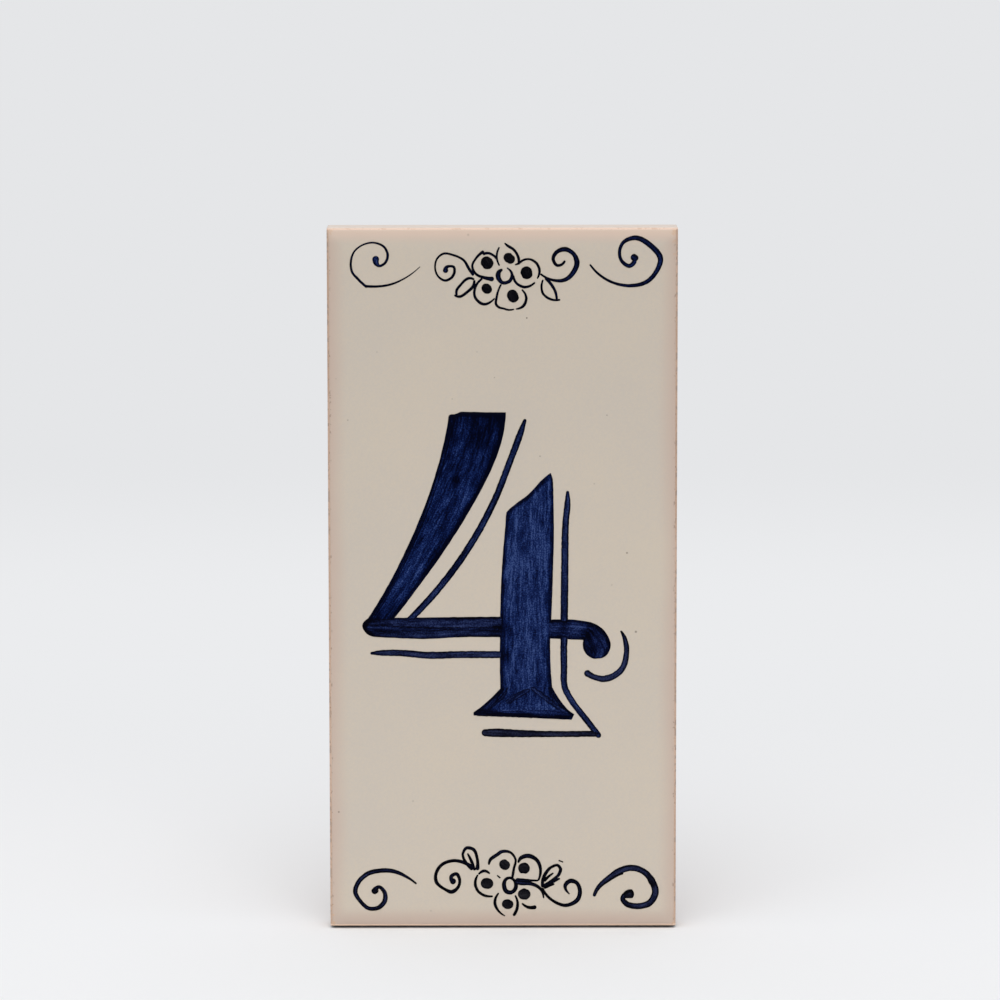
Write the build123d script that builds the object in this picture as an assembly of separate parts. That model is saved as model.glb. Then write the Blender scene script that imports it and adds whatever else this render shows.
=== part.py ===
from build123d import *
from math import cos, pi, sin, sqrt
import os

# A hand-painted ceramic house number tile, in millimetres.
# X runs across the tile, Z up its height, and the painted face looks towards -Y.
# The origin is the middle of the back, the face that is bedded on the wall.

# Pressed clay body
tile_width = 69.0
tile_height = 140.0
body_thickness = 7.0
corner_radius = 0.3    # corners, seen from the front
arris = 0.4            # eased front edge, left bare of glaze
back_chamfer = 0.4

# Keying grooves pressed into the back, which the mortar fills
key_depth = 0.5
key_width = 4.0
key_land = 4.0         # flat clay between two grooves
key_margin = 7.0       # least plain border round the grooves

# Glaze on the front
glaze_thickness = 0.5
glaze_ease = 0.3       # eased edge where the glaze ends

# Painted film: the marks below are (across, up, brush width), in steps of this grid
grid_pitch = 1.0
paint_thickness = 0.1
round_tip_width = 1.0  # lines at least this wide end round, and finer ones in a point
dab_sides = 12         # flats round the edge of a dab

bend_slack = 8.0       # degrees: an edge that turns less than this from its chord is drawn straight

glaze_front = body_thickness + glaze_thickness


# The way that a smooth line through these points runs at each of them.
def headings(points):
    steps = [after - before for before, after in zip(points, points[1:])]
    ways = []
    for before, after in zip(steps, steps[1:]):
        way = before.normalized() * after.length + after.normalized() * before.length
        ways.append(way.normalized())
    if not ways:
        return [steps[0].normalized()] * 2
    return [mirrored(ways[0], steps[0]), *ways, mirrored(ways[-1], steps[-1])]


# The way at the other end of a step that bends evenly.
def mirrored(way, step):
    along = step.normalized()
    return along * (2 * along.dot(way)) - way


def bent_edge(start, end, way):
    if way.get_angle(end - start) < bend_slack:
        return Line(start, end)
    return TangentArc(start, end, tangent=way)


# A smooth line through points: one arc for a step that bends evenly, and for any other step two arcs,
# which meet where both can turn evenly.
def smooth_line(points):
    ways = headings(points)
    edges = []
    for start, end, leaving, arriving in zip(points, points[1:], ways, ways[1:]):
        chord = end - start
        even = mirrored(arriving, chord)
        if leaving.get_angle(even) < 2 * bend_slack:
            edges.append(bent_edge(start, end, leaving + even))
            continue
        pull = chord.dot(leaving + arriving)
        turn = 2 * (1 - leaving.dot(arriving))
        reach = chord.dot(chord) / (pull + sqrt(pull**2 + turn * chord.dot(chord)))
        first_corner = start + leaving * reach
        last_corner = end - arriving * reach
        middle = (first_corner + last_corner) * 0.5
        edges.append(bent_edge(start, middle, leaving))
        edges.append(bent_edge(middle, end, last_corner - first_corner))
    return edges


# One brush line: an outline that swells and thins about the line that the brush followed.
def brush_line(*marks):
    spine = [Vector(across, up) * grid_pitch for across, up, width in marks]
    half = [width * grid_pitch / 2 for across, up, width in marks]
    ways = headings(spine)
    sides = [Vector(-way.Y, way.X) for way in ways]
    left = [point + side * reach for point, side, reach in zip(spine, sides, half)]
    right = [point - side * reach for point, side, reach in zip(spine, sides, half)]
    first_tip = spine[0] - ways[0] * half[0]
    last_tip = spine[-1] + ways[-1] * half[-1]
    outline = smooth_line(left) + smooth_line(right)
    for from_side, tip, to_side in ((left[-1], last_tip, right[-1]), (right[0], first_tip, left[0])):
        if (to_side - from_side).length < round_tip_width:
            outline += [Line(from_side, tip), Line(tip, to_side)]
        else:
            outline.append(ThreePointArc(from_side, tip, to_side))
    return make_face(outline)


# A single press of a loaded brush: half its length, half its width and the way it lies in degrees.
def brush_dab(across, up, long, short, turn):
    angles = [2 * pi * corner / dab_sides for corner in range(dab_sides)]
    rim = [(long * cos(angle) * grid_pitch, short * sin(angle) * grid_pitch) for angle in angles]
    return Pos(across * grid_pitch, up * grid_pitch) * Rot(0, 0, turn) * Polygon(*rim)


# A filled area inside edges that run on from one another: two points make a straight edge,
# and more a smooth one.
def filled_area(*edges):
    outline = []
    for edge in edges:
        outline += smooth_line([Vector(across, up) * grid_pitch for across, up in edge])
    return make_face(outline)


# The figure 4, drawn from the middle of the tile.
def numeral_four():
    slant_left = [(-10.5, 32.4), (-12.45, 24.0), (-15.75, 14.0), (-19.2, 6.0), (-22.2, 0.0), (-27.1, -8.2)]
    slant_right = [
        (-22.0, -8.2), (-15.75, 0.0), (-11.5, 6.0), (-6.5, 14.0), (-2.3, 22.0), (-0.1, 28.0),
        (0.7, 33.5),
    ]
    slant_top = [slant_right[-1], (-7.7, 33.65)]
    slant_corner = [slant_top[-1], (-9.7, 33.2), slant_left[0]]
    slant = filled_area(slant_left, [slant_left[-1], slant_right[0]], slant_right, slant_top, slant_corner)

    bar_tip = [(-26.6, -7.5), (-27.85, -9.1), (-26.9, -10.7), (-25.3, -11.3)]
    bar_under = [bar_tip[-1], (-20.5, -11.55), (-15.5, -11.7), (-8.0, -11.35), (1.0, -11.45)]
    bar_end = [bar_under[-1], (1.0, -7.2)]
    bar_top = [bar_end[-1], (-18.0, -7.4), bar_tip[0]]
    bar = filled_area(bar_tip, bar_under, bar_end, bar_top)

    stem_left = [(0.75, 13.7), (0.35, 9.0), (-0.3, 0.0), (-0.52, -7.0), (-0.5, -21.7)]
    flare_left = [stem_left[-1], (-3.1, -24.3), (-5.8, -26.5)]
    foot_under = [(-5.8, -27.1), (4.3, -27.55), (13.6, -28.0)]
    flare_right = [(14.2, -26.9), (13.0, -26.0), (11.4, -24.0), (9.85, -21.5)]
    stem_right = [flare_right[-1], (9.42, -15.0), (9.7, -6.0), (10.15, 10.0), (9.95, 20.3)]
    stem_peak = [stem_right[-1], (9.5, 21.5)]
    stem_top = [stem_peak[-1], (7.8, 20.1), (5.1, 17.2), (2.1, 14.95), stem_left[0]]
    foot_left = [flare_left[-1], foot_under[0]]
    foot_right = [foot_under[-1], flare_right[0]]
    stem = filled_area(
        stem_left, flare_left, foot_left, foot_under, foot_right, flare_right,
        stem_right, stem_peak, stem_top,
    )

    hook_top = [
        (9.0, -7.9), (14.5, -7.9), (18.6, -8.85), (20.8, -11.0), (21.4, -13.0), (20.5, -15.1),
        (18.3, -15.75),
    ]
    hook_inside = [hook_top[-1], (17.0, -15.2), (15.9, -13.4), (16.0, -11.95)]
    hook_under = [hook_inside[-1], (9.0, -11.6)]
    hook = filled_area(hook_top, hook_inside, hook_under, [hook_under[-1], hook_top[0]])

    slant_shadow = brush_line(
        (4.4, 31.9, 0.6), (3.75, 30.0, 1.1), (1.55, 24.0, 1.25), (-1.6, 16.0, 1.28), (-5.85, 8.0, 1.34),
        (-11.4, 0.0, 1.32), (-17.6, -7.0, 1.25), (-18.9, -8.3, 1.2),
    )
    bar_shadow = brush_line(
        (-26.0, -14.55, 0.5), (-24.5, -14.5, 1.0), (-20.5, -14.5, 1.25), (-15.0, -14.95, 1.35),
        (-8.0, -14.85, 1.4), (1.0, -14.9, 1.35),
    )
    stem_shadow = brush_line(
        (12.85, 17.6, 0.55), (12.85, 16.0, 1.05), (12.5, 12.0, 1.25), (12.3, 2.0, 1.42),
        (12.2, -8.0, 1.42), (12.15, -17.0, 1.28), (12.4, -21.7, 1.2), (13.6, -24.0, 1.2),
        (16.6, -28.0, 1.18), (19.0, -31.1, 1.1),
    )
    foot_shadow = brush_line(
        (-3.5, -30.6, 1.4), (-1.5, -30.6, 1.65), (3.0, -30.75, 1.45), (8.0, -30.85, 1.25),
        (18.6, -30.8, 1.2),
    )
    hook_shadow = brush_line(
        (23.5, -10.25, 0.35), (24.3, -12.0, 0.9), (24.55, -14.5, 1.05), (23.55, -17.9, 1.2),
        (20.1, -19.75, 1.25), (18.2, -19.4, 1.1), (16.8, -18.65, 1.25),
    )
    shadows = [slant_shadow, bar_shadow, stem_shadow, foot_shadow, hook_shadow]
    return Sketch() + [slant, bar, stem, hook, *shadows]


# The corner scrolls, each drawn from its own corner of the tile.
def top_left_scroll():
    tail = brush_line(
        (7.8, -11.5, 0.48), (10.0, -11.55, 0.42), (12.4, -11.2, 0.38), (15.5, -9.85, 0.23),
        (18.3, -7.7, 0.1),
    )
    curl = brush_line(
        (7.75, -11.6, 0.43), (6.2, -10.15, 0.46), (5.0, -8.7, 0.42), (4.75, -6.9, 0.4),
        (5.5, -4.6, 0.31), (7.4, -3.25, 0.28), (9.4, -2.95, 0.33), (11.35, -3.85, 0.41),
        (12.0, -5.4, 0.48), (11.4, -7.0, 0.48), (10.3, -7.5, 0.53), (9.7, -6.85, 1.08), (9.65, -6.2, 1.28),
    )
    return tail + curl


def top_right_scroll():
    curl = brush_line(
        (-17.2, -7.4, 0.33), (-15.3, -9.4, 0.43), (-12.6, -10.9, 0.48), (-9.3, -11.45, 0.63),
        (-6.25, -10.75, 0.78), (-4.15, -8.5, 0.88), (-3.45, -6.2, 1.03), (-5.4, -3.55, 1.03),
        (-8.4, -2.05, 0.91), (-10.8, -3.0, 0.68), (-11.5, -4.9, 0.6), (-10.9, -6.8, 0.65),
        (-9.5, -7.55, 0.78), (-8.6, -6.8, 0.88),
    )
    return curl + brush_dab(-8.55, -5.95, 0.78, 0.7, -30)


def bottom_left_scroll():
    curl = brush_line(
        (17.1, 8.9, 0.32), (15.3, 10.2, 0.52), (12.7, 11.35, 0.79), (10.2, 11.5, 0.87),
        (7.5, 10.85, 0.9), (5.5, 8.9, 0.87), (5.0, 7.2, 0.87), (6.05, 5.25, 0.72), (7.75, 3.8, 0.77),
        (9.7, 4.0, 0.85), (10.95, 5.6, 0.92), (10.7, 7.35, 0.77), (9.7, 8.15, 0.69), (9.0, 7.7, 0.97),
    )
    return curl + brush_dab(8.95, 7.4, 0.72, 0.65, 20)


def bottom_right_scroll():
    curl = brush_line(
        (-16.25, 6.5, 0.63), (-15.5, 8.0, 0.78), (-13.3, 9.95, 1.13), (-11.0, 11.5, 1.26),
        (-8.7, 12.0, 1.23), (-6.3, 11.15, 1.18), (-4.8, 9.4, 1.28), (-4.1, 6.9, 1.33), (-5.2, 4.9, 1.28),
        (-7.8, 4.2, 1.18), (-9.9, 4.75, 1.08), (-10.6, 5.7, 0.93), (-10.3, 6.4, 0.98),
    )
    eye_top = [(-10.6, 6.7), (-9.5, 7.6), (-8.75, 7.65)]
    eye_side = [eye_top[-1], (-8.36, 6.4), (-8.65, 5.85)]
    eye_under = [eye_side[-1], (-10.4, 5.75)]
    return curl + filled_area(eye_top, eye_side, eye_under, [eye_under[-1], eye_top[0]])


# The flower sprays, drawn from the middle of the tile's top and bottom edges.
def top_spray():
    left_curl = brush_line(
        (-11.15, -8.4, 0.98), (-10.95, -7.8, 0.68), (-10.3, -7.57, 0.44), (-9.55, -7.75, 0.48),
        (-9.4, -8.7, 0.48), (-10.0, -9.85, 0.48), (-11.25, -10.4, 0.43), (-12.5, -9.7, 0.36),
        (-13.2, -8.0, 0.32), (-12.8, -6.1, 0.33), (-11.6, -5.13, 0.38), (-9.6, -5.4, 0.38),
        (-7.5, -6.5, 0.43), (-6.6, -8.0, 0.53), (-5.8, -9.2, 0.48),
    )
    right_curl = brush_line(
        (7.65, -9.23, 0.35), (9.8, -10.3, 0.48), (12.3, -10.28, 0.75), (14.0, -8.75, 0.92),
        (14.65, -6.8, 1.0), (13.9, -5.1, 0.78), (12.3, -4.27, 0.9), (10.45, -5.05, 0.72),
        (9.98, -6.1, 0.63), (10.8, -7.45, 0.53), (11.7, -7.25, 0.48), (12.2, -6.7, 0.42),
    )
    leaves = [
        brush_line(
            (-5.7, -10.1, 0.38), (-6.2, -9.95, 0.45), (-8.4, -11.5, 0.45), (-9.0, -12.4, 0.48),
            (-9.0, -13.1, 0.43),
        ),
        brush_line(
            (-9.3, -13.35, 0.33), (-8.7, -13.57, 0.45), (-6.7, -12.5, 0.51), (-5.8, -11.6, 0.53),
            (-5.5, -10.55, 0.43),
        ),
        brush_line(
            (7.94, -10.4, 0.27), (7.7, -11.5, 0.39), (7.95, -12.9, 0.43), (9.6, -14.15, 0.43),
            (11.2, -14.23, 0.33),
        ),
        brush_line((8.6, -10.1, 0.53), (9.85, -11.55, 0.53), (10.4, -12.6, 0.49), (10.68, -14.0, 0.41)),
    ]
    petals = [
        brush_line((-1.2, -6.0, 0.38), (-2.0, -5.3, 0.43), (-2.75, -5.02, 0.45), (-3.6, -5.15, 0.53)),
        brush_line(
            (-3.85, -4.8, 0.58), (-5.1, -5.95, 0.41), (-5.9, -7.6, 0.41), (-5.2, -9.1, 0.45),
            (-3.5, -9.85, 0.58), (-2.1, -10.1, 0.88),
        ),
        brush_line((-0.65, -3.97, 0.28), (-1.1, -5.6, 0.37), (-0.62, -7.38, 0.25)),
        brush_line(
            (0.55, -3.15, 0.28), (0.9, -3.45, 0.43), (2.25, -4.35, 0.45), (3.2, -6.1, 0.48),
            (3.25, -6.95, 0.43),
        ),
        brush_line((3.2, -7.05, 0.43), (2.6, -7.3, 0.23)),
        brush_line(
            (3.3, -7.05, 0.33), (4.0, -6.46, 0.39), (5.2, -6.2, 0.35), (6.5, -6.8, 0.45),
            (7.3, -8.5, 0.46), (6.92, -9.92, 0.28),
        ),
        brush_line((2.15, -9.62, 0.45), (2.7, -10.85, 0.45), (4.3, -11.7, 0.51), (6.3, -10.9, 0.31)),
        brush_line(
            (-0.3, -11.3, 0.31), (-1.1, -13.6, 0.42), (-1.15, -15.25, 0.45), (-0.7, -15.68, 0.41),
            (0.3, -15.95, 0.35), (1.15, -16.2, 0.33), (2.2, -16.1, 0.21),
        ),
        brush_line((3.92, -12.3, 0.28), (4.7, -13.9, 0.47), (4.1, -15.45, 0.51), (2.8, -16.02, 0.25)),
        brush_line(
            (-4.1, -10.15, 0.39), (-5.3, -11.7, 0.45), (-5.4, -13.6, 0.49), (-3.8, -15.05, 0.53),
            (-1.6, -14.03, 0.25),
        ),
    ]
    heart = brush_line(
        (-0.2, -8.35, 0.5), (-0.75, -8.9, 0.87), (-0.8, -9.8, 0.92), (0.1, -10.85, 0.65),
        (1.45, -10.5, 0.65), (1.9, -9.2, 0.52), (1.0, -7.97, 0.22),
    )
    stamens = [
        brush_dab(-3.0, -6.92, 1.31, 1.16, -56),
        brush_dab(1.37, -6.03, 1.19, 0.98, -38),
        brush_dab(4.76, -8.89, 1.27, 1.14, -69),
        brush_dab(2.08, -13.47, 1.3, 1.08, -64),
        brush_dab(-3.05, -12.0, 1.09, 0.92, -41),
    ]
    return Sketch() + [left_curl, right_curl, *leaves, *petals, heart, *stamens]


def bottom_spray():
    left_curl = brush_line(
        (-5.7, 11.8, 0.56), (-7.4, 12.95, 0.66), (-9.85, 13.5, 0.61), (-12.3, 12.6, 0.61),
        (-13.45, 10.4, 0.61), (-13.35, 9.35, 0.66), (-11.45, 7.6, 0.56), (-10.3, 7.15, 0.77),
        (-9.0, 8.05, 0.58), (-8.65, 9.6, 0.57), (-9.3, 10.8, 0.66), (-10.3, 10.3, 0.71),
        (-10.2, 9.4, 0.81),
    )
    right_curl = brush_line(
        (7.9, 7.7, 0.52), (9.8, 5.45, 0.52), (12.6, 4.4, 0.67), (14.95, 5.65, 0.82), (15.35, 7.5, 0.77),
        (14.6, 9.05, 0.75), (13.4, 9.35, 0.87), (12.45, 8.5, 0.73), (13.2, 6.75, 0.22),
    )
    leaves = [
        brush_line(
            (-6.3, 11.85, 0.55), (-7.2, 12.85, 0.55), (-8.0, 14.9, 0.47), (-7.3, 16.05, 0.59),
            (-6.0, 15.85, 0.62), (-5.12, 13.8, 0.55), (-5.1, 11.95, 0.75),
        ),
        brush_line((-7.0, 14.85, 0.3), (-6.3, 13.4, 0.55), (-5.75, 11.8, 0.45)),
        brush_line(
            (7.85, 8.35, 0.55), (8.4, 10.7, 0.65), (9.8, 12.25, 0.51), (10.9, 12.55, 0.52),
            (11.5, 11.7, 0.6),
        ),
        brush_line((11.5, 11.8, 0.6), (11.1, 10.6, 0.59), (10.3, 9.85, 0.57), (8.0, 8.35, 0.55)),
        brush_line((9.95, 10.9, 0.27), (9.1, 10.25, 0.47), (8.35, 9.5, 0.55)),
        brush_line((11.2, 9.8, 0.33), (9.9, 9.15, 0.55), (8.2, 8.25, 0.55)),
        brush_line((10.1, 8.7, 0.33), (8.4, 8.05, 0.55)),
    ]
    petals = [
        brush_line(
            (-2.8, 12.85, 0.35), (-2.65, 13.45, 0.55), (-1.1, 14.75, 0.67), (-0.3, 15.3, 0.65),
            (1.4, 15.2, 0.47), (2.5, 13.75, 0.4), (2.15, 11.75, 0.47), (1.9, 10.2, 0.47),
        ),
        brush_line(
            (3.1, 13.25, 0.4), (3.5, 13.95, 0.7), (5.1, 14.46, 0.85), (6.75, 13.6, 0.71),
            (7.5, 11.45, 0.55), (7.1, 9.6, 0.35),
        ),
        brush_line((2.9, 9.55, 0.75), (4.0, 9.5, 0.7), (5.4, 9.45, 0.47), (6.9, 9.45, 0.3)),
        brush_line((-4.75, 10.85, 0.35), (-3.6, 11.4, 0.55), (-2.75, 10.95, 0.3)),
        brush_line(
            (-5.08, 10.5, 0.3), (-5.54, 8.85, 0.55), (-4.9, 7.22, 0.51), (-3.5, 6.35, 0.48),
            (-2.2, 6.24, 0.33),
        ),
        brush_line((-0.95, 6.8, 0.29), (-1.62, 4.9, 0.55), (-0.85, 3.2, 0.41), (0.3, 2.3, 0.19)),
        brush_line((2.5, 6.3, 0.29), (2.92, 4.6, 0.51), (2.23, 2.5, 0.55)),
        brush_line(
            (2.7, 9.1, 0.85), (3.7, 8.95, 0.9), (5.2, 8.85, 0.73), (6.45, 8.5, 0.65), (7.5, 7.7, 0.55),
            (8.1, 5.95, 0.25),
        ),
        brush_line((3.92, 4.7, 0.33), (4.9, 4.05, 0.55), (6.3, 4.0, 0.75)),
    ]
    dashes = [
        brush_line((-1.1, 10.45, 0.2), (-0.65, 10.05, 0.28)),
        brush_line((11.2, 13.5, 0.2), (11.9, 13.22, 0.22)),
    ]
    heart = [
        brush_line(
            (1.7, 10.0, 0.45), (0.65, 9.75, 0.6), (0.2, 8.5, 0.8), (0.75, 7.2, 0.85), (1.6, 7.0, 0.75),
        ),
        brush_line(
            (1.4, 10.0, 0.4), (2.3, 9.4, 0.55), (2.6, 8.3, 0.75), (2.2, 7.4, 0.75), (1.4, 7.0, 0.75),
        ),
    ]
    stamens = [
        brush_dab(0.33, 12.68, 1.12, 1.05, -40),
        brush_dab(4.2, 11.96, 1.18, 1.1, -16),
        brush_dab(-3.19, 8.86, 1.27, 1.1, -3),
        brush_dab(0.93, 4.63, 1.16, 0.98, -10),
        brush_dab(4.23, 6.66, 1.27, 1.12, -2),
    ]
    eye = brush_dab(-9.97, 9.3, 0.62, 0.57, 60)
    return Sketch() + [left_curl, eye, right_curl, *leaves, *petals, *dashes, *heart, *stamens]


# The tile's outline, drawn in by an inset and laid at a height above the back.
def tile_outline(inset, height):
    outline = RectangleRounded(tile_width - 2 * inset, tile_height - 2 * inset, corner_radius)
    return Pos(0, 0, height) * outline


def biscuit_tile():
    back = tile_outline(back_chamfer, 0)
    walls = [tile_outline(0, back_chamfer), tile_outline(0, body_thickness - arris)]
    front = tile_outline(arris, body_thickness)
    blank = loft([back, *walls, front], ruled=True)
    key_pitch = key_width + key_land
    key_pairs = int((tile_width - 2 * key_margin + key_land) // (2 * key_pitch))
    key = Rectangle(key_width, tile_height - 2 * key_margin)
    keys = Sketch() + [place * key for place in GridLocations(key_pitch, 0, 2 * key_pairs, 1)]
    return blank - extrude(keys, key_depth)


def glaze_coat():
    walls = [tile_outline(arris, body_thickness), tile_outline(arris, glaze_front - glaze_ease)]
    front = tile_outline(arris + glaze_ease, glaze_front)
    return loft([*walls, front], ruled=True)


# Paint lying on the glaze, from drawings that are already in their places on the face.
def paint_film(*drawings):
    return extrude(Pos(0, 0, glaze_front) * (Sketch() + list(drawings)), paint_thickness)


right_edge = tile_width / 2
top_edge = tile_height / 2
nodes = {
    "biscuit_tile": biscuit_tile(),
    "glaze_coat": glaze_coat(),
    "numeral": paint_film(numeral_four()),
    "top_ornament": paint_film(
        Pos(-right_edge, top_edge) * top_left_scroll(),
        Pos(0, top_edge) * top_spray(),
        Pos(right_edge, top_edge) * top_right_scroll(),
    ),
    "bottom_ornament": paint_film(
        Pos(-right_edge, -top_edge) * bottom_left_scroll(),
        Pos(0, -top_edge) * bottom_spray(),
        Pos(right_edge, -top_edge) * bottom_right_scroll(),
    ),
}

os.makedirs("parts", exist_ok=True)
for name, shape in nodes.items():
    export_step(Plane.XZ * shape, f"parts/{name}.step")
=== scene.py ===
import bpy
import math
from mathutils import Matrix, Vector, noise


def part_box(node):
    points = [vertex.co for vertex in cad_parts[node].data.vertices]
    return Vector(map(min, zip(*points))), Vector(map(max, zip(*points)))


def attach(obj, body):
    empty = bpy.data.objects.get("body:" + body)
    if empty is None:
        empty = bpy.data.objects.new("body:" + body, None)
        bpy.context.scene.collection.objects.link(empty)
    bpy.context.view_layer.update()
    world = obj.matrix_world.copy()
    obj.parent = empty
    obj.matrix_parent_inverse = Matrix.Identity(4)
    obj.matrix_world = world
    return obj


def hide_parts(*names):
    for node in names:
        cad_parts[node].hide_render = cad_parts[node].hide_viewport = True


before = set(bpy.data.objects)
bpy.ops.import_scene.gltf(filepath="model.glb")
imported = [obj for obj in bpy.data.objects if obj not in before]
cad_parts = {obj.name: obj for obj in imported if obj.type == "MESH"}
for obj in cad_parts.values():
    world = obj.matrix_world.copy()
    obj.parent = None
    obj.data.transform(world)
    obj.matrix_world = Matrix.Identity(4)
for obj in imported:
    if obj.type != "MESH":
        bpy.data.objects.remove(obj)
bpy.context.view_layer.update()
bpy.context.scene.view_settings.view_transform = "Standard"
mm = 0.001
smoothAngle = math.radians(50)  # edges that turn further stay sharp
noise.seed_set(4)  # the same strays on every run

clayLow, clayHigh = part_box("biscuit_tile")
glazeLow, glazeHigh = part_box("glaze_coat")
faceY = glazeLow.y  # front of the glaze, where the paint lies
halfWide = clayHigh.x / mm
halfTall = clayHigh.z / mm
print("frame loaded, glaze front at", round(faceY / mm, 2), "mm")


# small tools

def tint(red, green, blue):
    steps = [value / 255 for value in (red, green, blue)]
    return [v / 12.92 if v <= 0.04045 else ((v + 0.055) / 1.055) ** 2.4 for v in steps] + [1.0]


def addNode(tree, kind, inputs=None, **settings):
    node = tree.nodes.new(kind)
    for key, value in settings.items():
        setattr(node, key, value)
    for socket, value in (inputs or {}).items():
        if isinstance(value, bpy.types.NodeSocket):
            tree.links.new(value, node.inputs[socket])
        else:
            node.inputs[socket].default_value = value
    return node


def maths(tree, operation, first, second=0.0, clamp=False):
    terms = {0: first, 1: second}
    return addNode(tree, "ShaderNodeMath", terms, operation=operation, use_clamp=clamp).outputs[0]


def times(tree, first, second):
    return maths(tree, "MULTIPLY", first, second)


def axesOf(tree, place):
    return addNode(tree, "ShaderNodeSeparateXYZ", {0: place}).outputs


def mottle(tree, place, scale, detail, roughness=0.5):
    sizes = {"Vector": place, "Scale": scale, "Detail": detail, "Roughness": roughness}
    return addNode(tree, "ShaderNodeTexNoise", sizes).outputs[0]


def ramp(tree, value, low, high, toLow=0.0, toHigh=1.0):
    limits = {"Value": value, "From Min": low, "From Max": high, "To Min": toLow, "To Max": toHigh}
    return addNode(tree, "ShaderNodeMapRange", limits, interpolation_type="SMOOTHSTEP").outputs[0]


# a ramp over a band: from and to in mm beyond the start, and the share at each
def band(tree, value, start, reach):
    near, far, atNear, atFar = reach
    return ramp(tree, value, start + near * mm, start + far * mm, atNear, atFar)


def mixTint(tree, share, first, second):
    sockets = {0: share, 6: first, 7: second}
    return addNode(tree, "ShaderNodeMix", sockets, data_type="RGBA").outputs[2]


def newMaterial(name):
    material = bpy.data.materials.new(name)
    material.use_nodes = True
    return material, material.node_tree, material.node_tree.nodes["Principled BSDF"]


# the sockets that all three finishes of the tile use
def finishShader(tree, shader, colour, gloss, relief, look):
    tree.links.new(colour, shader.inputs["Base Color"])
    tree.links.new(ramp(tree, gloss, 0.3, 0.7, *look["roughness"]), shader.inputs["Roughness"])
    shader.inputs["Specular IOR Level"].default_value = look["specular"]
    depth = {"Height": relief, "Strength": look["bump"], "Distance": look["bumpDepth"]}
    tree.links.new(addNode(tree, "ShaderNodeBump", depth).outputs[0], shader.inputs["Normal"])


def objectPlace(tree):
    return addNode(tree, "ShaderNodeTexCoord").outputs["Object"]


def dress(piece, material):
    piece.data.materials.clear()
    piece.data.materials.append(material)


# a group that takes a place and some sizes
def newGroup(name, sizes, results):
    group = bpy.data.node_groups.new(name, "ShaderNodeTree")
    group.interface.new_socket("Vector", in_out="INPUT", socket_type="NodeSocketVector")
    for size, value in sizes.items():
        group.interface.new_socket(size, in_out="INPUT", socket_type="NodeSocketFloat").default_value = value
    for result in results:
        group.interface.new_socket(result, in_out="OUTPUT", socket_type="NodeSocketFloat")
    return group, group.nodes.new("NodeGroupInput").outputs, group.nodes.new("NodeGroupOutput").inputs


# fired grain, shared by the clay, the glaze and the paint

def buildFiredGrain():
    sizes = {"Cloud Scale": 60.0, "Grain Scale": 3000.0, "Pore Scale": 500.0, "Pore Size": 0.1}
    group, entry, leave = newGroup("firedGrain", sizes, ("Cloud", "Grain", "Pores"))
    cloud = mottle(group, entry["Vector"], entry["Cloud Scale"], 3.0)
    grain = mottle(group, entry["Vector"], entry["Grain Scale"], 2.0)
    pores = addNode(group, "ShaderNodeTexVoronoi", {"Vector": entry["Vector"], "Scale": entry["Pore Scale"]})
    inside = maths(group, "LESS_THAN", pores.outputs["Distance"], entry["Pore Size"])
    group.links.new(cloud, leave["Cloud"])
    group.links.new(grain, leave["Grain"])
    group.links.new(inside, leave["Pores"])
    return group


firedGrain = buildFiredGrain()


def placeGrain(tree, place, look):
    sizes = {"Vector": place, "Cloud Scale": look["cloudScale"], "Grain Scale": look["grainScale"]}
    if "poreScale" in look:
        sizes.update({"Pore Scale": look["poreScale"], "Pore Size": look["poreSize"]})
    return addNode(tree, "ShaderNodeGroup", sizes, node_tree=firedGrain).outputs


# worn rim, shared by the clay and the glaze:
# distances from the tile's outline in metres, and flecks chipped off it

def buildWornRim():
    sizes = {"Fleck Scale": 900.0, "Fleck Share": 0.4}
    group, entry, leave = newGroup("wornRim", sizes, ("Side", "End", "Flecks"))
    axes = axesOf(group, entry["Vector"])
    side = maths(group, "SUBTRACT", clayHigh.x, maths(group, "ABSOLUTE", axes["X"]))
    end = maths(group, "SUBTRACT", clayHigh.z, maths(group, "ABSOLUTE", axes["Z"]))
    flecks = mottle(group, entry["Vector"], entry["Fleck Scale"], 2.0)
    chipped = ramp(group, maths(group, "SUBTRACT", entry["Fleck Share"], flecks), 0.0, 0.06)
    group.links.new(side, leave["Side"])
    group.links.new(end, leave["End"])
    group.links.new(chipped, leave["Flecks"])
    return group


wornRim = buildWornRim()


def placeWear(tree, place, look):
    sizes = {"Vector": place, "Fleck Scale": look["fleckScale"], "Fleck Share": look["fleckShare"]}
    return addNode(tree, "ShaderNodeGroup", sizes, node_tree=wornRim).outputs


# a painted highlight along the upper edge, broken by the flecks
def mixGlint(tree, colour, height, flecks, look):
    whole = maths(tree, "SUBTRACT", 1.0, times(tree, flecks, look["broken"]))
    share = times(tree, band(tree, height, clayHigh.z, look["glintBand"]), whole)
    return mixTint(tree, share, colour, tint(*look["glint"]))


# clay body: bare at the edges, the sides and the back

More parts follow.
